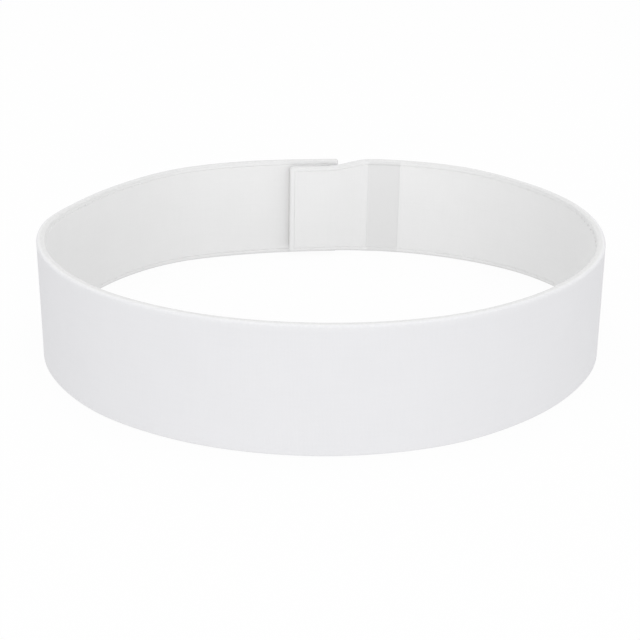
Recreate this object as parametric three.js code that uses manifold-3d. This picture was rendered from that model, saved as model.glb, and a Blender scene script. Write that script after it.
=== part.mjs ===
// Clerical collar: a stiffened full band closed into a ring, its ends lapped at the back.
// Millimetres, +Z up. It stands on its lower edge, with the origin under the middle of the ring.
// The plain front faces -Y and the lap is at +Y.

import * as THREE from "three";
import { mergeVertices } from "three/addons/utils/BufferGeometryUtils.js";
import Module from "manifold-3d";

// Driving sizes of the closed ring and its wall
const RING_RADIUS = 79;
const BAND_HEIGHT = 32;
const WALL = 2.4;
const COVER_THICKNESS = 1.1;
const TURNED_EDGE = 1.4;
const EDGE_ROUND = 0.6;
const FACING_ROUND = 0.2;
const CLEARANCE = 0.3;

// The lap: how far each end runs past the middle of the back, and the pad that joins the two ends
const OUTER_END_REACH = 8;
const INNER_END_REACH = 8.7;
const PAD_THICKNESS = 1;
const PAD_MARGIN = 0.8;

// The inner end steps inwards under the outer end, and is a little less tall than the band. Its tip lies
// wholly tucked and narrowed along this share of the lap.
const TUCKED_SHARE = 0.72;
const TUCK_LENGTH = 16;
const TAB_TAPER = 17;
const TAB_TOP_STEP = 1.5;
const TAB_BOTTOM_STEP = 1.3;

// The facing of the inner end, and the bare strip between it and the lining
const END_FACING_LENGTH = 25.5;
const BARE_STRIP = 11.4;

// Fineness of the curved surfaces, and how closely points count as one
const STATION_SPACING = 3.6;
const FEWEST_STATIONS = 2;
const ROUND_STEPS = 3;
const LENGTH_SAMPLES = 2000;
const MERGE_DISTANCE = 0.0001;

// The ring's outline from above. Bearings grow from the back at 0, by the viewer's left, to the front at 180.
// Reach is where the upper edge lies, and foot is how much further out the lower edge stands, both as
// shares of RING_RADIUS. The band stands fuller on the right of the back, past the lap.
const OUTLINE = [
  { bearing: 0, reach: 1.003, foot: 0 },
  { bearing: 18, reach: 0.995, foot: 0 },
  { bearing: 35, reach: 0.99, foot: 0.028 },
  { bearing: 52, reach: 0.956, foot: 0.054 },
  { bearing: 70, reach: 0.946, foot: 0.044 },
  { bearing: 90, reach: 0.982, foot: 0 },
  { bearing: 112, reach: 0.995, foot: 0 },
  { bearing: 135, reach: 1.008, foot: 0 },
  { bearing: 158, reach: 1.007, foot: 0 },
  { bearing: 180, reach: 0.998, foot: 0 },
  { bearing: 202, reach: 0.984, foot: 0 },
  { bearing: 225, reach: 0.966, foot: 0 },
  { bearing: 248, reach: 0.966, foot: 0.006 },
  { bearing: 270, reach: 0.984, foot: 0.019 },
  { bearing: 290, reach: 1.021, foot: 0.082 },
  { bearing: 308, reach: 1.051, foot: 0.073 },
  { bearing: 325, reach: 1.081, foot: 0.015 },
  { bearing: 342, reach: 1.056, foot: 0 },
];

// Sizes that follow from those above: the step between the two ends' outer faces, the lap, the lining's
// thickness and its distance from the band's edges, and how deep the cut for it runs, past the inner face
const LAP_OFFSET = WALL + PAD_THICKNESS + 2 * CLEARANCE;
const LAP_LENGTH = OUTER_END_REACH + INNER_END_REACH;
const TUCKED_LENGTH = TUCKED_SHARE * LAP_LENGTH;
const LINING_THICKNESS = WALL - COVER_THICKNESS - CLEARANCE;
const HEM_INSET = TURNED_EDGE + CLEARANCE;
const HOLLOW_DEPTH = 2 * WALL;

const wasm = await Module();
wasm.setup();

// Goes smoothly from 0 to 1 as value goes from start to end.
function ease(value, start, end) {
  return THREE.MathUtils.smoothstep(value, start, end);
}

// The closed outline of the ring's outer face, from the middle of the back round by the viewer's left.
// Its third coordinate carries the foot.
function ringOutline() {
  const corners = OUTLINE.map(({ bearing, reach, foot }) => {
    const angle = THREE.MathUtils.degToRad(bearing);
    const radius = reach * RING_RADIUS;
    return new THREE.Vector3(-radius * Math.sin(angle), radius * Math.cos(angle), foot * RING_RADIUS);
  });
  const outline = new THREE.CatmullRomCurve3(corners, true, "centripetal");
  outline.arcLengthDivisions = LENGTH_SAMPLES;
  return outline;
}

// The line of the strip's outer face, from its outer end to its inner end.
function stripPath() {
  const outline = ringOutline();
  const round = outline.getLength();
  const first = -OUTER_END_REACH;
  const last = round + INNER_END_REACH;
  const tucked = last - TUCKED_LENGTH;
  const count = Math.round((last - first) / STATION_SPACING);
  const points = [];
  for (let i = 0; i <= count; i += 1) {
    const along = first + ((last - first) * i) / count;
    const point = outline.getPointAt((((along % round) + round) % round) / round);
    const inwards = LAP_OFFSET * ease(along, tucked - TUCK_LENGTH, tucked);
    const kept = 1 - inwards / Math.hypot(point.x, point.y);
    points.push(new THREE.Vector3(kept * point.x, kept * point.y, point.z));
  }
  const path = new THREE.CatmullRomCurve3(points, false, "centripetal");
  path.arcLengthDivisions = LENGTH_SAMPLES;
  return path;
}

const PATH = stripPath();
const STRIP_LENGTH = PATH.getLength();

// The lower and upper edge of the strip at a distance from its inner end.
function edgesAt(fromInnerEnd) {
  const narrowed = 1 - ease(fromInnerEnd, TUCKED_LENGTH, TUCKED_LENGTH + TAB_TAPER);
  return {
    bottom: TAB_BOTTOM_STEP * narrowed,
    top: BAND_HEIGHT - TAB_TOP_STEP * narrowed,
  };
}

// A rectangle with rounded corners, as points of depth behind the outer face and height.
function roundedSection(near, far, bottom, top, radius) {
  const points = [];
  const corners = [
    { depth: far - radius, height: bottom + radius, from: -Math.PI / 2 },
    { depth: far - radius, height: top - radius, from: 0 },
    { depth: near + radius, height: top - radius, from: Math.PI / 2 },
    { depth: near + radius, height: bottom + radius, from: Math.PI },
  ];
  for (const { depth, height, from } of corners) {
    for (let i = 0; i <= ROUND_STEPS; i += 1) {
      const angle = from + (Math.PI / 2) * (i / ROUND_STEPS);
      points.push(new THREE.Vector2(depth + radius * Math.cos(angle), height + radius * Math.sin(angle)));
    }
  }
  return points;
}

// Carries a section along the strip from one distance to another, both measured from the outer end.
function sweep(from, to, sectionAt) {
  const steps = Math.max(FEWEST_STATIONS, Math.round((to - from) / STATION_SPACING));
  const positions = [];
  const indices = [];
  let around = 0;
  for (let i = 0; i <= steps; i += 1) {
    const along = from + ((to - from) * i) / steps;
    const share = THREE.MathUtils.clamp(along / STRIP_LENGTH, 0, 1);
    const point = PATH.getPointAt(share);
    const tangent = PATH.getTangentAt(share);
    const inward = new THREE.Vector3(-tangent.y, tangent.x, 0).normalize();
    const section = sectionAt(edgesAt(STRIP_LENGTH - along));
    around = section.length;
    for (const { x: depth, y: height } of section) {
      const inwards = depth - point.z * (1 - height / BAND_HEIGHT);
      positions.push(point.x + inwards * inward.x, point.y + inwards * inward.y, height);
    }
  }
  for (let i = 0; i < steps; i += 1) {
    for (let j = 0; j < around; j += 1) {
      const a = i * around + j;
      const b = i * around + ((j + 1) % around);
      indices.push(a, b, a + around, b, b + around, a + around);
    }
  }
  const end = steps * around;
  for (let j = 1; j < around - 1; j += 1) {
    indices.push(0, j + 1, j);
    indices.push(end, end + j, end + j + 1);
  }
  return new THREE.BufferGeometry()
    .setAttribute("position", new THREE.Float32BufferAttribute(positions, 3))
    .setIndex(indices);
}

// Turns a closed geometry into a solid that can be cut.
function solidFrom(geometry) {
  const merged = mergeVertices(geometry, MERGE_DISTANCE);
  return new wasm.Manifold(
    new wasm.Mesh({
      numProp: 3,
      vertProperties: merged.attributes.position.array,
      triVerts: new Uint32Array(merged.index.array),
    }),
  );
}

// Turns a solid back into a geometry.
function geometryFrom(solid) {
  const { vertProperties, triVerts } = solid.getMesh();
  const geometry = new THREE.BufferGeometry()
    .setAttribute("position", new THREE.BufferAttribute(vertProperties, 3))
    .setIndex(new THREE.BufferAttribute(triVerts, 1));
  geometry.computeVertexNormals();
  return geometry;
}

// The outer strip: full thickness at its turned edges and ends, hollowed between them.
function outerBand() {
  const strip = sweep(0, STRIP_LENGTH, ({ bottom, top }) =>
    roundedSection(0, WALL, bottom, top, EDGE_ROUND),
  );
  const hollow = sweep(TURNED_EDGE, STRIP_LENGTH - TURNED_EDGE, ({ bottom, top }) => [
    new THREE.Vector2(COVER_THICKNESS, bottom + TURNED_EDGE),
    new THREE.Vector2(HOLLOW_DEPTH, bottom + TURNED_EDGE),
    new THREE.Vector2(HOLLOW_DEPTH, top - TURNED_EDGE),
    new THREE.Vector2(COVER_THICKNESS, top - TURNED_EDGE),
  ]);
  return geometryFrom(solidFrom(strip).subtract(solidFrom(hollow)));
}

// A thin facing that lies in the band's hollow, flush with the turned edges.
function facing(from, to) {
  return sweep(from, to, ({ bottom, top }) =>
    roundedSection(WALL - LINING_THICKNESS, WALL, bottom + HEM_INSET, top - HEM_INSET, FACING_ROUND),
  );
}

// The inner face of the ring, from the outer end to the bare strip.
function lining() {
  return facing(HEM_INSET, STRIP_LENGTH - HEM_INSET - END_FACING_LENGTH - BARE_STRIP);
}

// The inner face of the inner end.
function endFacing() {
  return facing(STRIP_LENGTH - HEM_INSET - END_FACING_LENGTH, STRIP_LENGTH - HEM_INSET);
}

// The fastening between the two ends: one plain pad on the outer face of the inner end.
function fasteningPad() {
  return sweep(STRIP_LENGTH - TUCKED_LENGTH + PAD_MARGIN, STRIP_LENGTH - PAD_MARGIN, ({ bottom, top }) =>
    roundedSection(
      -CLEARANCE - PAD_THICKNESS,
      -CLEARANCE,
      bottom + PAD_MARGIN,
      top - PAD_MARGIN,
      FACING_ROUND,
    ),
  );
}

// A named mesh with its own material.
function piece(name, geometry, colour, roughness) {
  const material = new THREE.MeshStandardMaterial({ color: colour, roughness, metalness: 0 });
  const mesh = new THREE.Mesh(geometry, material);
  mesh.name = name;
  return mesh;
}

const band = piece("outer_band", outerBand(), 0xf3f3f6, 0.75);
const collar = new THREE.Group();
collar.add(
  band,
  piece("lining", lining(), 0xefefee, 0.85),
  piece("end_facing", endFacing(), 0xefefee, 0.85),
  piece("fastening_pad", fasteningPad(), 0xe8e8e6, 0.95),
);

// The origin lies under the middle of the band.
const middle = new THREE.Box3().setFromObject(band).getCenter(new THREE.Vector3());
for (const { geometry } of collar.children) {
  geometry.translate(-middle.x, -middle.y, 0);
}

export default collar;
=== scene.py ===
"""Clerical collar: its cloth pieces, their finishes, the camera and the light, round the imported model.

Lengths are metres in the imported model's frame: +Z up, the plain front at -Y and the lap at +Y.
Each piece is made flat, as it is cut, and is then bent along the ring. A flat point is
(along, depth, height): along the strip from its outer end, inwards from its outer face, and upwards.
"""
import logging
import math
from dataclasses import dataclass, field
from enum import Enum
from typing import Any, Callable, Iterable, Optional, Union

import bmesh
import bpy
import numpy as np
from mathutils import Matrix, Vector, noise


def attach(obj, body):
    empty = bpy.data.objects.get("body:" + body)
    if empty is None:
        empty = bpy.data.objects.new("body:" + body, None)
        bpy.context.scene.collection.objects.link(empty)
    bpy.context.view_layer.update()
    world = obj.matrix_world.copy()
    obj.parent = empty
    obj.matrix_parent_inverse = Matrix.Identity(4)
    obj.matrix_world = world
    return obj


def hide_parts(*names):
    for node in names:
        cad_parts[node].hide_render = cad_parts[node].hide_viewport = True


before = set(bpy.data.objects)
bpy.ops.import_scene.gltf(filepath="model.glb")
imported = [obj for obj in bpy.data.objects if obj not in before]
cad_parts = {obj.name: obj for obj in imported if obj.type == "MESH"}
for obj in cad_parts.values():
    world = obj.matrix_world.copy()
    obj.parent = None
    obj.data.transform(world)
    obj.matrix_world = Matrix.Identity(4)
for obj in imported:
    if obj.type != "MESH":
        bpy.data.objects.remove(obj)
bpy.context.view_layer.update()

LOG = logging.getLogger("collar")
BODY = "root"
STRIP = "strip"
MM = 0.001
WHITE = (1.0, 1.0, 1.0, 1.0)

# How squarely a face has to look inwards to be the inner one, how close points are to count as one, and
# what share of a cloth's length an edge has to cover to count as running along it
LOOKS_INWARDS = 0.99
SAME_PLACE = 1e-6
RUNS_ALONG = 0.6


class Axis(Enum):
    """The axes of flat points."""

    ALONG = 0
    DEPTH = 1
    HEIGHT = 2


class Hold(Enum):
    """How a piece of cloth is held."""

    FOLDED = "folded"
    LAID = "laid"


class Surface(Enum):
    """What the surface of a cloth is made of."""

    WOVEN = "woven"
    PRESSED = "pressed fibres"
    PILE = "pile"


@dataclass(frozen=True)
class Bearing:
    """One row of the ring's outline from above.

    Bearings grow from the back at 0, by the viewer's left, to the front at 180. Reach is where the
    upper edge lies, and foot is how much further out the lower edge stands, both as shares of the
    ring's radius.
    """

    bearing: float
    reach: float
    foot: float = 0.0


OUTLINE: tuple[Bearing, ...] = (
    Bearing(0, 1.003), Bearing(18, 0.995), Bearing(35, 0.99, 0.028), Bearing(52, 0.956, 0.054),
    Bearing(70, 0.946, 0.044), Bearing(90, 0.982), Bearing(112, 0.995), Bearing(135, 1.008),
    Bearing(158, 1.007), Bearing(180, 0.998), Bearing(202, 0.984), Bearing(225, 0.966),
    Bearing(248, 0.966, 0.006), Bearing(270, 0.984, 0.019), Bearing(290, 1.021, 0.082),
    Bearing(308, 1.051, 0.073), Bearing(325, 1.081, 0.015), Bearing(342, 1.056),
)


@dataclass(frozen=True)
class CollarSizes:
    """The collar's own sizes.

    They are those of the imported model, apart from the lining's cloth and the seam beside it: the packed
    lining is thicker and keeps the clearance from the turned edges.
    """

    ring_radius: float = 79 * MM
    height: float = 32 * MM
    wall: float = 2.4 * MM
    turned_edge: float = 1.4 * MM
    edge_round: float = 0.6 * MM
    clearance: float = 0.3 * MM
    outer_end_reach: float = 8 * MM
    inner_end_reach: float = 8.7 * MM
    pad_thickness: float = 1 * MM
    pad_margin: float = 0.8 * MM
    tucked_share: float = 0.72
    tuck_length: float = 16 * MM
    tab_taper: float = 17 * MM
    tab_top_step: float = 1.5 * MM
    tab_bottom_step: float = 1.3 * MM
    end_facing: float = 25.5 * MM
    bare_strip: float = 11.4 * MM
    station: float = 3.6 * MM
    lining_cloth: float = 0.12 * MM
    seam: float = 0.02 * MM

    @property
    def lap(self) -> float:
        """The length over which the two ends lie on each other."""
        return self.outer_end_reach + self.inner_end_reach

    @property
    def tucked(self) -> float:
        """The length along which the inner end lies wholly tucked and narrowed."""
        return self.tucked_share * self.lap

    @property
    def lap_step(self) -> float:
        """The distance between the outer faces of the two ends."""
        return self.wall + self.pad_thickness + 2 * self.clearance

    @property
    def hem(self) -> float:
        """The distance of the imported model's lining from the band's edges."""
        return self.turned_edge + self.clearance

    @property
    def edge_seam(self) -> float:
        """The distance of the lining cloth from the band's edges, close beside the turned ones."""
        return self.turned_edge + self.seam

    @property
    def floor(self) -> float:
        """How far behind the outer face the bare inside lies, under the lining cloth."""
        return self.wall - self.lining_cloth - self.seam


def ease(value: np.ndarray, start: float, end: float) -> np.ndarray:
    """Goes smoothly from 0 to 1 as the value goes from start to end.

    Args:
        value: The values to ease.
        start: Where the result leaves 0.
        end: Where the result reaches 1.

    Returns:
        The eased values.
    """
    share = np.clip((np.asarray(value, float) - start) / (end - start), 0, 1)
    return share * share * (3 - 2 * share)


class SmoothLine:
    """A smooth line through points, measured along its length."""

    def __init__(self, points: np.ndarray, closed: bool, samples: int = 8000) -> None:
        """Samples the line finely.

        Args:
            points: The points that it goes through, one a row.
            closed: Whether it comes back to its first point.
            samples: How many short pieces it is measured in.
        """
        count = len(points)
        if closed:
            padded = np.vstack([points[-1:], points, points[:2]])
            spans = count
        else:
            before, after = 2 * points[:1] - points[1:2], 2 * points[-1:] - points[-2:-1]
            padded = np.vstack([before, points, after])
            spans = count - 1
        place = np.linspace(0, spans, samples + 1)
        span = np.minimum(place.astype(int), spans - 1)
        self._points = self._between(padded, span, (place - span)[:, None])
        steps = np.linalg.norm(np.diff(self._points, axis=0), axis=1)
        self._along = np.concatenate([[0.0], np.cumsum(steps)])
        slope = np.gradient(self._points, self._along, axis=0)
        self._slope = slope / np.linalg.norm(slope, axis=1)[:, None]
        self.length = float(self._along[-1])

    @staticmethod
    def _between(padded: np.ndarray, span: np.ndarray, weight: np.ndarray) -> np.ndarray:
        """Centripetal interpolation between the two middle points of four.

        Args:
            padded: The line's points, with one more before the first.
            span: The number of the span that each sample is in.
            weight: How far through its span each sample is, from 0 to 1.

        Returns:
            The samples' places.
        """
        a, b, c, d = (padded[span + i] for i in range(4))
        gap = [np.sqrt(np.linalg.norm(q - p, axis=1))[:, None] for p, q in ((a, b), (b, c), (c, d))]
        start = ((b - a) / gap[0] - (c - a) / (gap[0] + gap[1]) + (c - b) / gap[1]) * gap[1]
        end = ((c - b) / gap[1] - (d - b) / (gap[1] + gap[2]) + (d - c) / gap[2]) * gap[1]
        square, cube = 3 * (c - b) - 2 * start - end, 2 * (b - c) + start + end
        return b + weight * (start + weight * (square + weight * cube))

    def at(self, along: np.ndarray) -> tuple[np.ndarray, np.ndarray]:
        """The places and directions at distances along the line.

        Args:
            along: The distances.

        Returns:
            The places and the unit directions, one a row.
        """
        place, slope = (
            np.stack([np.interp(along, self._along, column) for column in table.T], 1)
            for table in (self._points, self._slope)
        )
        return place, slope / np.linalg.norm(slope, axis=1)[:, None]


class BandLine:
    """The line of the strip's outer face round the neck, and how flat points are bent to it.

    Its third coordinate carries how much further out the lower edge stands than the upper one.
    """

    def __init__(self, sizes: CollarSizes) -> None:
        """Lays the strip round the outline and tucks its inner end under its outer end.

        Args:
            sizes: The collar's sizes.
        """
        self.sizes = sizes
        angle = np.radians([row.bearing for row in OUTLINE])
        reach = sizes.ring_radius * np.array([row.reach for row in OUTLINE])
        foot = sizes.ring_radius * np.array([row.foot for row in OUTLINE])
        corners = np.stack([-reach * np.sin(angle), reach * np.cos(angle), foot], 1)
        ring = SmoothLine(corners, closed=True)
        first, last = -sizes.outer_end_reach, ring.length + sizes.inner_end_reach
        tucked = last - sizes.tucked
        along = np.linspace(first, last, round((last - first) / sizes.station) + 1)
        points, _ = ring.at(np.mod(along, ring.length))
        inwards = sizes.lap_step * ease(along, tucked - sizes.tuck_length, tucked)
        points[:, :2] *= (1 - inwards / np.linalg.norm(points[:, :2], axis=1))[:, None]
        self._line = SmoothLine(points, closed=False)
        self.length = self._line.length
        self._middle = np.zeros(2)
        self._middle = self._middle_of_edges()

    def _middle_of_edges(self) -> np.ndarray:
        """Finds the middle of the box round the outer face's two edges.

        Returns:
            Its place on the floor.
        """
        sizes = self.sizes
        along = np.linspace(0, self.length, round(self.length / sizes.station) + 1)
        edges = [np.column_stack([along, 0 * along, 0 * along + height])
                 for height in (sizes.edge_round, sizes.height - sizes.edge_round)]
        places = self.bend(np.vstack(edges))[:, :2]
        return (places.min(0) + places.max(0)) / 2

    def bend(self, flat: np.ndarray) -> np.ndarray:
        """Carries flat points to their places in the ring.

        Args:
            flat: Flat points, one a row.

        Returns:
            Their places, one a row.
        """
        sizes = self.sizes
        along = np.clip(flat[:, 0], 0, self.length)
        place, slope = self._line.at(along)
        ahead = slope[:, :2] / np.linalg.norm(slope[:, :2], axis=1)[:, None]
        inward = np.stack([-ahead[:, 1], ahead[:, 0]], 1)
        narrowed = 1 - ease(self.length - flat[:, 0], sizes.tucked, sizes.tucked + sizes.tab_taper)
        share = flat[:, 2] / sizes.height
        raised = sizes.tab_bottom_step * (1 - share) - sizes.tab_top_step * share
        height = flat[:, 2] + narrowed * raised
        depth = flat[:, 1] - place[:, 2] * (1 - height / sizes.height)
        level = place[:, :2] + ahead * (flat[:, 0] - along)[:, None] + inward * depth[:, None]
        return np.column_stack([level - self._middle, height])


@dataclass(frozen=True)
class Extent:
    """A range in flat coordinates: along the strip, in depth and in height."""

    along: tuple[float, float]
    depth: tuple[float, float]
    height: tuple[float, float]

    @property
    def low(self) -> Vector:
        """Its lowest corner."""
        return Vector((self.along[0], self.depth[0], self.height[0]))

    @property
    def high(self) -> Vector:
        """Its highest corner."""
        return Vector((self.along[1], self.depth[1], self.height[1]))


class FlatCloth:
    """A closed piece of cloth or thread while it is still flat."""

    def __init__(self, extent: Optional[Extent] = None) -> None:
        """Starts from a slab that fills the extent, or from nothing.

        Args:
            extent: What the slab fills.
        """
        self.mesh = bmesh.new()
        self.length = 0.0
        if extent:
            self.length = extent.along[1] - extent.along[0]
            middle, size = (extent.low + extent.high) / 2, extent.high - extent.low
            fill = Matrix.Translation(middle) @ Matrix.Diagonal((*size, 1.0))
            bmesh.ops.create_cube(self.mesh, size=1.0, matrix=fill)

    def round_edges(self, radius: float, segments: int,
                    edges: Optional[Iterable[bmesh.types.BMEdge]] = None) -> None:
        """Rounds edges off.

        Args:
            radius: The radius of the rounding.
            segments: How many faces it takes.
            edges: The edges, or all of them.
        """
        bmesh.ops.bevel(
            self.mesh, geom=list(edges or self.mesh.edges), offset=radius, offset_type="OFFSET",
            segments=segments, profile=0.5, affect="EDGES", material=-1, clamp_overlap=True,
        )

    def inner_face(self) -> bmesh.types.BMFace:
        """The largest face on the side of the neck."""
        facing_in = [f for f in self.mesh.faces if f.normal.y > LOOKS_INWARDS]
        return max(facing_in, key=lambda f: f.calc_area())

    def cut_across(self, axis: Axis, places: Iterable[float]) -> None:
        """Cuts all faces at planes, so that they can bend there.

        Args:
            axis: The axis that the planes stand across.
            places: Where they are on it.
        """
        normal = Vector([float(one is axis) for one in Axis])
        for place in places:
            everything = [*self.mesh.verts, *self.mesh.edges, *self.mesh.faces]
            bmesh.ops.bisect_plane(
                self.mesh, geom=everything, plane_co=normal * place, plane_no=normal,
                dist=SAME_PLACE,
            )

    def cut_lengths(self, spacing: float) -> None:
        """Divides the edges that run along the strip into short ones, so that it can bend.

        Args:
            spacing: The length of the short ones.
        """
        least = RUNS_ALONG * self.length
        runs = [e for e in self.mesh.edges if abs(e.verts[0].co.x - e.verts[1].co.x) > least]
        cuts = max(1, round(self.length / spacing) - 1)
        bmesh.ops.subdivide_edges(self.mesh, edges=runs, cuts=cuts, use_grid_fill=True)

    def press(self, relief: Callable[[Vector], Vector]) -> None:
        """Moves each point by a small amount.

        Args:
            relief: Gives a flat point's move.
        """
        for vert in self.mesh.verts:
            vert.co += relief(vert.co)

    def bent(self, name: str, line: BandLine,
             finishes: Iterable[bpy.types.Material]) -> bpy.types.Object:
        """Bends the cloth to the ring and makes its object, which keeps the flat place of each point.

        Args:
            name: The piece's name.
            line: The line of the ring.
            finishes: Its materials, in the order of the faces' numbers.

        Returns:
            The object, at the origin.
        """
        bmesh.ops.recalc_face_normals(self.mesh, faces=self.mesh.faces)
        data = bpy.data.meshes.new(name)
        for face in self.mesh.faces:
            face.smooth = True
        self.mesh.to_mesh(data)
        self.mesh.free()
        flat = np.zeros(len(data.vertices) * 3, np.float32)
        data.vertices.foreach_get("co", flat)
        data.attributes.new(STRIP, "FLOAT_VECTOR", "POINT").data.foreach_set("vector", flat / MM)
        placed = line.bend(flat.reshape(-1, 3).astype(float))
        data.vertices.foreach_set("co", placed.astype(np.float32).ravel())
        data.update()
        for finish in finishes:
            data.materials.append(finish)
        piece = bpy.data.objects.new(name, data)
        bpy.context.scene.collection.objects.link(piece)
        return piece


@dataclass(frozen=True)
class Unevenness:
    """The slight swells of the stiffened cloth, which all its layers share."""

    depth: float = 0.12 * MM
    reach: float = 24 * MM
    seed: float = 3.0

    def move(self, point: Vector) -> Vector:
        """The move of a flat point."""
        swell = noise.noise(Vector((point.x / self.reach, self.seed, point.z / (2 * self.reach))))
        return Vector((0.0, self.depth * swell, 0.0))


SWELLS = Unevenness()

Number = Union[float, "Value"]


class Value:
    """A number in a material, whose arithmetic adds Math nodes."""

    def __init__(self, graph: "Graph", socket: bpy.types.NodeSocket) -> None:
        """Wraps an output socket of a graph."""
        self.graph = graph
        self.socket = socket

    def _math(self, operation: str, *others: Number, clamp: bool = False) -> "Value":
        """Adds a Math node on this value and others.

        Args:
            operation: What the node works out.
            others: The values after this one.
            clamp: Whether the result is kept between 0 and 1.

        Returns:
            The node's result.
        """
        settings = {"operation": operation, "use_clamp": clamp}
        node = self.graph.add("ShaderNodeMath", settings, dict(enumerate((self, *others))))
        return Value(self.graph, node.outputs[0])

    def _reflected(self, operation: str, other: float) -> "Value":
        """A Math node on a plain number and this value, in that order."""
        node = self.graph.add("ShaderNodeMath", {"operation": operation}, {0: other, 1: self})
        return Value(self.graph, node.outputs[0])

    def __add__(self, other: Number) -> "Value":
        """The sum."""
        return self._math("ADD", other)

    __radd__ = __add__

    def __sub__(self, other: Number) -> "Value":
        """The difference."""
        return self._math("SUBTRACT", other)

    def __rsub__(self, other: float) -> "Value":
        """The difference from a number."""
        return self._reflected("SUBTRACT", other)

    def __mul__(self, other: Number) -> "Value":
        """The product."""
        return self._math("MULTIPLY", other)

    __rmul__ = __mul__

    def __truediv__(self, other: Number) -> "Value":
        """The quotient."""
        return self._math("DIVIDE", other)

    def __rtruediv__(self, other: float) -> "Value":
        """The quotient of a number."""
        return self._reflected("DIVIDE", other)

    def __abs__(self) -> "Value":
        """The size without its sign."""
        return self._math("ABSOLUTE")

    def sine(self) -> "Value":
        """The sine."""
        return self._math("SINE")

    def clamped(self) -> "Value":
        """The value kept between 0 and 1."""
        return self._math("ADD", 0.0, clamp=True)

    def rising(self, start: float, end: float) -> "Value":
        """Goes from 0 to 1 as the value goes from start to end."""
        return ((self - start) / (end - start)).clamped()


Colour = tuple[float, float, float]
Range = tuple[float, float]
Input = Union[Value, bpy.types.NodeSocket, float, tuple[float, ...]]


@dataclass(frozen=True)
class Grain:
    """A kind of noise: how fine it is, how many finer layers it has and how strong those are."""

    scale: float
    detail: float = 2.0
    roughness: float = 0.5


class Graph:
    """The nodes of one material."""

    def __init__(self, name: str) -> None:
        """Starts an empty material.

        Args:
            name: The material's name.
        """
        self.material = bpy.data.materials.new(name)
        self.material.use_nodes = True
        self.tree = self.material.node_tree
        self.tree.nodes.clear()

    def add(self, kind: str, settings: Optional[dict[str, Any]] = None,
            inputs: Optional[dict[Union[str, int], Input]] = None) -> bpy.types.Node:
        """Adds a node.

        Args:
            kind: The node's type.
            settings: Its settings, set first.
            inputs: The values or links of its sockets, by name or number.

        Returns:
            The node.
        """
        node = self.tree.nodes.new(kind)
        for name, setting in (settings or {}).items():
            setattr(node, name, setting)
        for name, given in (inputs or {}).items():
            if isinstance(given, Value):
                given = given.socket
            if isinstance(given, bpy.types.NodeSocket):
                self.tree.links.new(given, node.inputs[name])
            else:
                node.inputs[name].default_value = given
        return node

    def flat_place(self) -> tuple[Value, Value, Value]:
        """Reads the flat place of the surface, in millimetres.

        Returns:
            Its distance along the strip, its depth and its height.
        """
        kept = self.add("ShaderNodeAttribute", {"attribute_name": STRIP})
        parts = self.add("ShaderNodeSeparateXYZ", inputs={0: kept.outputs["Vector"]})
        along, depth, height = (Value(self, parts.outputs[i]) for i in range(3))
        return along, depth, height

    def point(self, x: Number, y: Number, z: Number) -> bpy.types.NodeSocket:
        """A vector of three numbers."""
        return self.add("ShaderNodeCombineXYZ", inputs={0: x, 1: y, 2: z}).outputs[0]

    def noise(self, place: bpy.types.NodeSocket, grain: Grain) -> Value:
        """Smooth noise from 0 to 1.

        Args:
            place: Where it is read.
            grain: Its kind.

        Returns:
            The noise.
        """
        node = self.add("ShaderNodeTexNoise", {"noise_dimensions": "3D"}, {
            "Vector": place, "Scale": grain.scale, "Detail": grain.detail,
            "Roughness": grain.roughness,
        })
        return Value(self, node.outputs[0])

    def blend(self, factor: Number, first: Input, second: Input) -> bpy.types.NodeSocket:
        """Mixes two colours.

        Args:
            factor: How much of the second is taken, from 0 to 1.
            first: The first colour.
            second: The second colour.

        Returns:
            The mixed colour.
        """
        node = self.add("ShaderNodeMix", {"data_type": "RGBA", "clamp_factor": True})
        sockets = (node.inputs[0], node.inputs[6], node.inputs[7])
        for socket, given in zip(sockets, (factor, first, second)):
            if isinstance(given, Value):
                given = given.socket
            if isinstance(given, bpy.types.NodeSocket):
                self.tree.links.new(given, socket)
            elif isinstance(given, tuple):
                socket.default_value = (*given, 1.0)
            else:
                socket.default_value = given
        return node.outputs[2]


@dataclass(frozen=True)
class ClothPattern:
    """What the finishes of all cloths share.

    Lengths are millimetres. A range is where one look turns into another: behind the outer face, from
    the band's upper and lower edges, from an end of the bare strip or, for noise, in its strength.
    """

    clouds: Grain = Grain(0.09, 3.0, 0.55)
    cloud_roughness: float = 0.12
    hollow_shade: float = 0.5
    hollow_roughness: float = 0.06
    slub_shade: float = 0.3
    slub_relief: float = 0.4
    # Painted light: the depth over which the cover turns into its lighter inner copy
    inside: Range = (0.3, 1.0)
    bare_inside: Range = (1.2, 1.9)
    bare_sharp_end: Range = (-0.1, 0.1)
    bare_soft_end: Range = (-0.9, 0.4)
    # Painted shade on the rims' tops: how far behind the outer face and how near the edges it lies
    rim_shade_depth: Range = (0.5, 1.1)
    rim_shade_edge: Range = (0.8, 0.2)
    worn_edge: Range = (1.5, 0.2)
    fray: Grain = Grain(1.1, 4.0, 0.7)
    frayed: Range = (0.42, 0.7)
    frayed_colour: Colour = (0.78, 0.78, 0.77)
    frayed_roughness: float = 0.1
    drift: Grain = Grain(0.35)
    drift_reach: float = 0.25
    crossing: float = 4.0
    slubs: Grain = Grain(1.0)
    slub_lengthways: float = 0.08
    slub_crossways: float = 1.6
    slub_threshold: float = 0.9
    weft_layer: float = 7.0
    tuft_detail: float = 3.0
    tuft_roughness: float = 0.7
    tufted: Range = (0.3, 0.7)
    patch_scale: float = 0.12
    patched: Range = (0.45, 0.8)
    bump_strength: float = 0.5
    sheen_roughness: float = 0.45
    specular: float = 0.12


PATTERN = ClothPattern()


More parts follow.
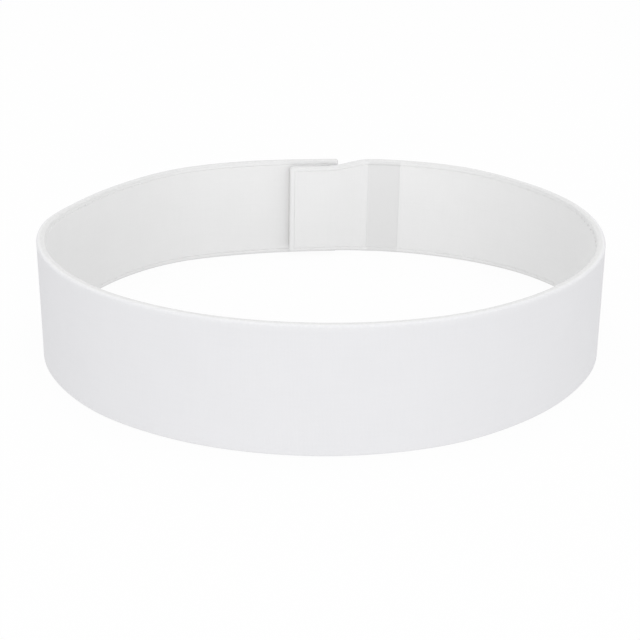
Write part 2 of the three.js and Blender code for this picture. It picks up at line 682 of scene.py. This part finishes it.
@dataclass(frozen=True)
class ClothFinish:
    """The finish of one kind of cloth. Colours are of light, and lengths of threads are millimetres."""

    name: str
    slot: str
    surface: Surface
    colour: Colour
    shade: Colour
    thread: float
    relief: float
    roughness: float
    sheen: float
    mottle: float = 0.35
    rim_wear: float = 0.0
    # Painted light: a lighter, neutral copy of the cloth for the faces behind the outer one, for how the
    # light falls inside
    inner_painted_light: Optional[Colour] = None
    # Painted shade: a darker colour on the inner half of the rims' tops
    rim_painted_shade: Optional[Colour] = None
    # On the stiffener, the bare strip's own tone; on the cover, painted shade on the turned edges where
    # they pass the bare strip
    bare_tone_and_edge_shade: Optional[Colour] = None

    def material(self, height: float, bare: Optional[Range] = None) -> bpy.types.Material:
        """Makes the material.

        Args:
            height: The height of the band, in metres, which the painted shade on the rims and the wear
                along its edges follow.
            bare: From where to where the inside is bare, in metres along the strip.

        Returns:
            The material.
        """
        graph = Graph(self.name)
        along, depth, up = graph.flat_place()
        place = graph.point(along, depth, up)
        across = up + depth
        if self.surface is Surface.WOVEN:
            bumps, slub = self._woven(graph, along, across)
        else:
            bumps, slub = self._fibres(graph, along, across, depth)
        hollows = 1.0 - bumps
        cloud = graph.noise(place, PATTERN.clouds) - 0.5
        dark = hollows * PATTERN.hollow_shade + slub * PATTERN.slub_shade + cloud * self.mottle
        colour = graph.blend(dark.clamped(), self.colour, self.shade)
        # Painted light: faces behind the outer one take the lighter, neutral inner copy of the cloth
        if self.inner_painted_light:
            colour = graph.blend(depth.rising(*PATTERN.inside), colour, self.inner_painted_light)
        # On the cover this is painted shade: the turned edges are painted darker across the bare strip;
        # on the stiffener it is the strip's own tone
        if self.bare_tone_and_edge_shade and bare:
            colour = graph.blend(self._bareness(along, depth, bare), colour, self.bare_tone_and_edge_shade)
        rough = self.roughness + cloud * PATTERN.cloud_roughness + hollows * PATTERN.hollow_roughness
        # Painted shade: the inner half of the top and bottom rims is painted darker
        if self.rim_painted_shade:
            rim_shade = self._near_edge(up, height, PATTERN.rim_shade_edge) * depth.rising(*PATTERN.rim_shade_depth)
            colour = graph.blend(rim_shade, colour, self.rim_painted_shade)
        if self.rim_wear:
            worn = self._near_edge(up, height, PATTERN.worn_edge)
            fray = worn * graph.noise(place, PATTERN.fray).rising(*PATTERN.frayed)
            colour = graph.blend(fray * self.rim_wear, colour, PATTERN.frayed_colour)
            rough = rough + fray * PATTERN.frayed_roughness
        bump = graph.add("ShaderNodeBump", inputs={
            "Strength": PATTERN.bump_strength, "Distance": self.relief * MM,
            "Height": bumps + slub * PATTERN.slub_relief,
        })
        shader = graph.add("ShaderNodeBsdfPrincipled", inputs={
            "Base Color": colour, "Roughness": rough.clamped(), "Sheen Weight": self.sheen,
            "Sheen Roughness": PATTERN.sheen_roughness, "Specular IOR Level": PATTERN.specular,
            "Normal": bump.outputs[0],
        })
        graph.add("ShaderNodeOutputMaterial", inputs={0: shader.outputs[0]})
        return graph.material

    @staticmethod
    def _near_edge(up: Value, height: float, edge: Range) -> Value:
        """Goes from 0 to 1 towards the upper and the lower edge of the band.

        Args:
            up: The height of the surface.
            height: The height of the band, in metres.
            edge: How far from an edge it leaves 0 and reaches 1.

        Returns:
            The value from 0 to 1.
        """
        half = height / MM / 2
        return abs(up - half).rising(half - edge[0], half - edge[1])

    @staticmethod
    def _bareness(along: Value, depth: Value, bare: Range) -> Value:
        """Tells the bare strip from the rest of the inside.

        Args:
            along: The distance along the strip.
            depth: The depth behind the outer face.
            bare: From where to where the inside is bare, in metres.

        Returns:
            1 in the bare strip and 0 outside it.
        """
        (sharp_from, sharp_to), (soft_from, soft_to) = PATTERN.bare_sharp_end, PATTERN.bare_soft_end
        sharp, soft = (place / MM for place in bare)
        begun = along.rising(sharp + sharp_from, sharp + sharp_to)
        ended = along.rising(soft + soft_from, soft + soft_to)
        return begun * (1.0 - ended) * depth.rising(*PATTERN.bare_inside)

    def _woven(self, graph: Graph, along: Value, across: Value) -> tuple[Value, Value]:
        """Weaves a plain weave.

        Args:
            graph: The material's nodes.
            along: The distance along the warp.
            across: The distance along the weft.

        Returns:
            The height of the weave and the unevenness of its threads.
        """
        drift = graph.noise(graph.point(along, across, 0.0), PATTERN.drift) * PATTERN.drift_reach
        warp = ((along + drift) * (math.pi / self.thread)).sine()
        weft = ((across + drift) * (math.pi / self.thread)).sine()
        over = (warp * weft * PATTERN.crossing + 0.5).clamped()
        bumps = over * abs(warp) + (1.0 - over) * abs(weft)
        long, short = PATTERN.slub_lengthways, PATTERN.slub_crossways
        warp_slubs = graph.noise(graph.point(along * long, across * short, 0.0), PATTERN.slubs)
        weft_place = graph.point(along * short, across * long, PATTERN.weft_layer)
        slubs = warp_slubs + graph.noise(weft_place, PATTERN.slubs)
        return bumps, (slubs - PATTERN.slub_threshold).clamped()

    def _fibres(self, graph: Graph, along: Value, across: Value,
                depth: Value) -> tuple[Value, Value]:
        """Lays pressed or standing fibres.

        Args:
            graph: The material's nodes.
            along: The distance along the strip.
            across: The distance across it.
            depth: The depth behind the outer face.

        Returns:
            The height of the fibres and their unevenness.
        """
        fine = 1.0 / self.thread
        place = graph.point(along, across, depth)
        tuft = Grain(fine, PATTERN.tuft_detail, PATTERN.tuft_roughness)
        tufts = graph.noise(place, tuft).rising(*PATTERN.tufted)
        patches = graph.noise(place, Grain(fine * PATTERN.patch_scale)).rising(*PATTERN.patched)
        return tufts, patches


# Painted light: the cover's outer face carries a cool tint, and its inside is a lighter, neutral copy of
# the same cloth, both for how the light falls on each side
COVER = ClothFinish(
    name="cover_cloth", slot="cover_cloth", surface=Surface.WOVEN,
    colour=(0.69, 0.69, 0.705), shade=(0.64, 0.64, 0.656),
    thread=0.3, relief=0.02, roughness=0.72, sheen=0.04, rim_wear=0.35,
    # Painted shade: the rims' tops are painted darker
    # Painted shade: the turned edges are painted darker where they pass the bare strip
    inner_painted_light=(0.755, 0.755, 0.755), rim_painted_shade=(0.65, 0.65, 0.65), bare_tone_and_edge_shade=(0.69, 0.69, 0.69),
)
LINING = ClothFinish(
    name="lining_cloth", slot="lining_cloth", surface=Surface.WOVEN,
    colour=(0.765, 0.765, 0.765), shade=(0.70, 0.70, 0.70),
    thread=0.4, relief=0.03, roughness=0.78, sheen=0.08,
)
STIFFENER = ClothFinish(
    name="bare_stiffener", slot="lining_cloth", surface=Surface.PRESSED,
    colour=(0.75, 0.75, 0.75), shade=(0.705, 0.705, 0.705),
    thread=0.25, relief=0.03, roughness=0.85, sheen=0.03, bare_tone_and_edge_shade=(0.69, 0.69, 0.69),
)
THREAD = ClothFinish(
    name="sewing_thread", slot="lining_cloth", surface=Surface.PRESSED,
    colour=(0.78, 0.78, 0.78), shade=(0.71, 0.71, 0.71),
    thread=0.12, relief=0.02, roughness=0.55, sheen=0.2,
)
TAPE = ClothFinish(
    name="fastening_tape", slot="fastening_tape", surface=Surface.PILE,
    colour=(0.76, 0.76, 0.75), shade=(0.64, 0.64, 0.63),
    thread=0.3, relief=0.2, roughness=0.9, sheen=0.25, mottle=0.5,
)


@dataclass
class OuterBand:
    """The outer strip: a stiffened cover with its edges and ends turned to the inside."""

    sizes: CollarSizes
    line: BandLine
    bare: Range
    cover: ClothFinish = COVER
    inside: ClothFinish = STIFFENER
    rim_round: float = 0.6 * MM
    rim_steps: int = 4
    lip_round: float = 0.05 * MM
    lip_steps: int = 2
    spacing: float = 1.6 * MM
    row_margin: float = 0.5 * MM
    rows: int = 9

    def build(self) -> bpy.types.Object:
        """Builds the band, bent to the ring.

        Returns:
            The band.
        """
        sizes = self.sizes
        cloth = FlatCloth(Extent((0.0, self.line.length), (0.0, sizes.wall), (0.0, sizes.height)))
        cloth.round_edges(self.rim_round, self.rim_steps)
        self._hollow(cloth)
        edge = sizes.turned_edge + self.lip_round
        low, high = edge + self.row_margin, sizes.height - edge - self.row_margin
        cloth.cut_across(Axis.HEIGHT, np.linspace(low, high, self.rows).tolist())
        cloth.cut_lengths(self.spacing)
        cloth.press(SWELLS.move)
        finishes = [finish.material(sizes.height, self.bare) for finish in (self.cover, self.inside)]
        return cloth.bent("collar_band", self.line, finishes)

    def _hollow(self, cloth: FlatCloth) -> None:
        """Sinks the inner face between the turned edges, down to the bare stiffener.

        Args:
            cloth: The band while it is flat.
        """
        sizes, mesh = self.sizes, cloth.mesh
        face = cloth.inner_face()
        bmesh.ops.inset_region(
            mesh, faces=[face], thickness=sizes.turned_edge - self.rim_round, use_even_offset=True,
        )
        lip = list(face.edges)
        floor = bmesh.ops.extrude_discrete_faces(mesh, faces=[face])["faces"][0]
        bmesh.ops.translate(mesh, verts=list(floor.verts), vec=(0.0, sizes.floor - sizes.wall, 0.0))
        floor.material_index = 1
        cloth.round_edges(self.lip_round, self.lip_steps, [e for e in lip if e.is_valid])

    def dress(self, piece: bpy.types.Object) -> None:
        """Hides the imported band that this one stands for, and works out the size of its cut cloth,
        which nothing keeps.

        Args:
            piece: The band. Not used.
        """
        sizes = self.sizes
        turned = sizes.wall + sizes.turned_edge
        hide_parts("outer_band")
        cut = (self.line.length + 2 * turned, sizes.height + 2 * turned)


@dataclass
class Facing:
    """A thin cloth that lies in the band's hollow, flush with its turned edges."""

    name: str
    node: str
    sizes: CollarSizes
    line: BandLine
    along: Range
    finish: ClothFinish = LINING
    edge_round: float = 0.05 * MM
    edge_steps: int = 2
    spacing: float = 1.3 * MM
    row_margin: float = 0.4 * MM
    rows: int = 8

    def build(self) -> bpy.types.Object:
        """Builds the facing, bent to the ring.

        Returns:
            The facing.
        """
        sizes = self.sizes
        cloth = FlatCloth(Extent(
            self.along, (sizes.wall - sizes.lining_cloth, sizes.wall),
            (sizes.edge_seam, sizes.height - sizes.edge_seam),
        ))
        cloth.round_edges(self.edge_round, self.edge_steps)
        edge = sizes.edge_seam + self.edge_round
        low, high = edge + self.row_margin, sizes.height - edge - self.row_margin
        cloth.cut_across(Axis.HEIGHT, np.linspace(low, high, self.rows).tolist())
        cloth.cut_lengths(self.spacing)
        cloth.press(SWELLS.move)
        return cloth.bent(self.name, self.line, (self.finish.material(sizes.height),))

    def dress(self, piece: bpy.types.Object, band: bpy.types.Object) -> None:
        """Hides the imported part that the facing stands for, and works out the size of its cut cloth,
        which nothing keeps.

        Args:
            piece: The facing. Not used.
            band: The band that it lies in. Not used.
        """
        sizes = self.sizes
        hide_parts(self.node)
        cut = (self.along[1] - self.along[0], sizes.height - 2 * sizes.edge_seam)


@dataclass
class FasteningPad:
    """The hidden fastening between the two ends: two tapes pressed together into one pad."""

    sizes: CollarSizes
    line: BandLine
    finish: ClothFinish = TAPE
    play: float = 0.12 * MM
    overhang: float = 0.7 * MM
    corner: float = 0.3 * MM
    corner_steps: int = 3
    seam: float = 0.3 * MM
    seam_reach: float = 0.02 * MM
    side_reach: float = 0.01 * MM
    tuft: float = 0.9 * MM
    tuft_move: float = 0.05 * MM
    spacing: float = 0.7 * MM
    row_margin: float = 1 * MM
    rows: int = 30
    seed: int = 11
    extent: Extent = field(init=False)

    def build(self) -> bpy.types.Object:
        """Builds the pad, bent to the ring.

        Returns:
            The pad.
        """
        sizes, length = self.sizes, self.line.length
        depth = (sizes.wall - sizes.lap_step + self.play, -self.play)
        low, high = sizes.pad_margin, sizes.height - sizes.pad_margin
        start = length - sizes.tucked + sizes.pad_margin
        end = length - sizes.pad_margin + self.overhang
        self.extent = Extent((start, end), depth, (low, high))
        cloth = FlatCloth(self.extent)
        cloth.round_edges(self.corner, self.corner_steps)
        cloth.cut_across(Axis.DEPTH, [sum(depth) / 2])
        rows = np.linspace(low + self.row_margin, high - self.row_margin, self.rows)
        cloth.cut_across(Axis.HEIGHT, rows.tolist())
        cloth.cut_lengths(self.spacing)
        noise.seed_set(self.seed)
        cloth.press(self._pile)
        return cloth.bent("fastening_tapes", self.line, (self.finish.material(sizes.height),))

    def _pile(self, point: Vector) -> Vector:
        """Draws the sides in where the two tapes meet, and roughens the rest.

        Args:
            point: A flat point of the pad.

        Returns:
            Its move.
        """
        middle = (self.extent.low + self.extent.high) / 2
        half = (self.extent.high - self.extent.low) / 2
        apart = point - middle
        if abs(apart.y) > self.seam_reach:
            rough = noise.noise_vector(point / self.tuft) * self.tuft_move
            return Vector((rough.x, 0.0, rough.z))
        drawn = Vector((0.0, 0.0, 0.0))
        if half.x - abs(apart.x) < self.side_reach:
            drawn.x = -math.copysign(self.seam, apart.x)
        if half.z - abs(apart.z) < self.side_reach:
            drawn.z = -math.copysign(self.seam, apart.z)
        return drawn

    def dress(self, piece: bpy.types.Object, band: bpy.types.Object) -> None:
        """Hides the imported pad that this one stands for.

        Args:
            piece: The pad. Not used.
            band: The band that it lies on. Not used.
        """
        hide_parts("fastening_pad")


@dataclass
class SlipStitches:
    """The short stitches that hold the lining and the end facing to the turned edges."""

    sizes: CollarSizes
    line: BandLine
    runs: tuple[Range, ...]
    finish: ClothFinish = THREAD
    pitch: float = 4.2 * MM
    length: float = 1.5 * MM
    thickness: float = 0.26 * MM
    sides: int = 8
    rings: int = 6
    proud: float = 0.04 * MM
    stray: float = 0.25 * MM
    slant: float = 38.0
    slant_spread: float = 4.0
    seed: int = 5

    def _places(self) -> list[tuple[float, float, float]]:
        """Draws where the stitches lie, along the upper and the lower turned edge.

        Returns:
            Each stitch's distance along the strip, its height and its slant in degrees.
        """
        draw = np.random.default_rng(self.seed)
        groove = self.sizes.turned_edge
        places = []
        for start, end in self.runs:
            count = max(1, round((end - start) / self.pitch))
            for i in range(count):
                at = start + (end - start) * (i + 0.5) / count
                for side, height in ((1.0, self.sizes.height - groove), (-1.0, groove)):
                    moved = at + draw.normal(0, self.stray)
                    places.append((moved, height, side * draw.normal(self.slant, self.slant_spread)))
        return places

    def build(self) -> bpy.types.Object:
        """Builds all the stitches as one piece.

        Returns:
            The stitches.
        """
        sizes, cloth = self.sizes, FlatCloth()
        shape = Matrix.Diagonal((self.length / 2, self.thickness / 2, self.thickness / 2, 1.0))
        lying = Matrix.Rotation(math.radians(90), 4, "Y")
        for at, height, slant in self._places():
            place = Matrix.Translation((at, sizes.wall + self.proud, height))
            turn = Matrix.Rotation(math.radians(slant), 4, "Y")
            bmesh.ops.create_uvsphere(
                cloth.mesh, u_segments=self.sides, v_segments=self.rings, radius=1.0,
                matrix=place @ turn @ shape @ lying,
            )
        return cloth.bent("slip_stitches", self.line, (self.finish.material(sizes.height),))

    def dress(self, piece: bpy.types.Object) -> None:
        """Does nothing."""


@dataclass(frozen=True)
class Viewpoint:
    """The camera, as fitted to the outline of the real collar. Angles are degrees."""

    place: tuple[float, float, float] = (-18.75 * MM, -337.33 * MM, 130.23 * MM)
    down: float = 20.568
    towards_right: float = 2.683
    roll: float = 1.156
    focal_pixels: float = 1261.01
    frame_pixels: float = 640.0
    sensor: float = 36.0
    nearest: float = 10 * MM

    def build(self) -> bpy.types.Object:
        """Makes the scene's camera.

        Returns:
            The camera.
        """
        down, pan, roll = (math.radians(a) for a in (self.down, self.towards_right, self.roll))
        level = math.cos(down)
        ahead = Vector((math.sin(pan) * level, math.cos(pan) * level, -math.sin(down)))
        right = Vector((math.cos(pan), -math.sin(pan), 0.0))
        up = right.cross(ahead)
        right, up = (
            right * math.cos(roll) + up * math.sin(roll),
            up * math.cos(roll) - right * math.sin(roll),
        )
        data = bpy.data.cameras.new("camera")
        data.sensor_width = self.sensor
        data.lens = self.focal_pixels * self.sensor / self.frame_pixels
        data.clip_start = self.nearest
        camera = bpy.data.objects.new("camera", data)
        turn = Matrix((right, up, -ahead)).transposed().to_4x4()
        camera.matrix_world = Matrix.Translation(self.place) @ turn
        bpy.context.scene.collection.objects.link(camera)
        bpy.context.scene.camera = camera
        return camera


@dataclass(frozen=True)
class Softbox:
    """One large, soft lamp that points at the collar."""

    name: str
    place: tuple[float, float, float]
    size: float
    power: float

    def build(self) -> bpy.types.Object:
        """Makes the lamp.

        Returns:
            The lamp.
        """
        data = bpy.data.lights.new(self.name, "AREA")
        data.shape, data.size, data.energy = "SQUARE", self.size, self.power
        lamp = bpy.data.objects.new(self.name, data)
        lamp.location = self.place
        lamp.rotation_euler = (-Vector(self.place)).to_track_quat("-Z", "Y").to_euler()
        bpy.context.scene.collection.objects.link(lamp)
        return lamp


@dataclass(frozen=True)
class Studio:
    """A plain pale floor in plain soft light."""

    air: float = 0.965
    floor_glow: float = 0.935
    floor_shade: float = 0.05
    floor_roughness: float = 0.9
    floor_reach: float = 3.0
    floor_drop: float = 0.15 * MM
    lamps: tuple[Softbox, ...] = (
        Softbox("front_softbox", place=(0.0, -1.5, 0.3), size=0.9, power=6.6),
        Softbox("top_softbox", place=(0.0, -0.1, 1.6), size=1.0, power=5.5),
    )

    def build(self) -> None:
        """Makes the floor, the light around it and the lamps."""
        scene = bpy.context.scene
        scene.view_settings.view_transform = "Standard"
        scene.view_settings.look = "None"
        world = bpy.data.worlds.new("pale_room")
        world.use_nodes = True
        sky = world.node_tree.nodes["Background"]
        sky.inputs["Color"].default_value = WHITE
        sky.inputs["Strength"].default_value = self.air
        scene.world = world
        mesh = bmesh.new()
        drop = Matrix.Translation((0.0, 0.0, -self.floor_drop))
        bmesh.ops.create_grid(mesh, x_segments=1, y_segments=1, size=self.floor_reach, matrix=drop)
        data = bpy.data.meshes.new("floor")
        mesh.to_mesh(data)
        mesh.free()
        graph = Graph("pale_floor")
        shader = graph.add("ShaderNodeBsdfPrincipled", inputs={
            "Base Color": (*(self.floor_shade,) * 3, 1.0), "Roughness": self.floor_roughness,
            "Specular IOR Level": 0.0, "Emission Color": WHITE, "Emission Strength": self.floor_glow,
        })
        graph.add("ShaderNodeOutputMaterial", inputs={0: shader.outputs[0]})
        data.materials.append(graph.material)
        floor = bpy.data.objects.new("floor", data)
        scene.collection.objects.link(floor)
        for lamp in self.lamps:
            lamp.build()


def report_piece(piece: bpy.types.Object) -> None:
    """Logs a piece's name, its number of faces and its box in millimetres.

    Args:
        piece: The piece.
    """
    corners = [Vector(c) for c in piece.bound_box]
    size = [(max(c[i] for c in corners) - min(c[i] for c in corners)) / MM for i in range(3)]
    LOG.info("%s: %d faces, %.1f x %.1f x %.1f mm", piece.name, len(piece.data.polygons), *size)


def main() -> None:
    """Builds the collar's pieces in order, and then what it is seen by."""
    logging.basicConfig(level=logging.INFO, format="%(name)s: %(message)s")
    Viewpoint().build()
    sizes = CollarSizes()
    line = BandLine(sizes)
    facing_start = line.length - sizes.hem - sizes.end_facing
    lining_end = facing_start - sizes.bare_strip
    lining_run = (sizes.edge_seam, lining_end)
    facing_run = (facing_start, line.length - sizes.edge_seam)
    band_maker = OuterBand(sizes, line, (lining_end, facing_start))
    band = band_maker.build()
    band_maker.dress(band)
    lining_maker = Facing("neck_lining", "lining", sizes, line, lining_run)
    lining = lining_maker.build()
    lining_maker.dress(lining, band)
    facing_maker = Facing("end_panel", "end_facing", sizes, line, facing_run)
    panel = facing_maker.build()
    facing_maker.dress(panel, band)
    pad_maker = FasteningPad(sizes, line)
    pad = pad_maker.build()
    pad_maker.dress(pad, band)
    stitch_maker = SlipStitches(sizes, line, (lining_run, facing_run))
    stitches = stitch_maker.build()
    stitch_maker.dress(stitches)
    for piece in (band, lining, panel, pad, stitches):
        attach(piece, BODY)
        report_piece(piece)
    Studio().build()


if __name__ == "__main__":
    main()
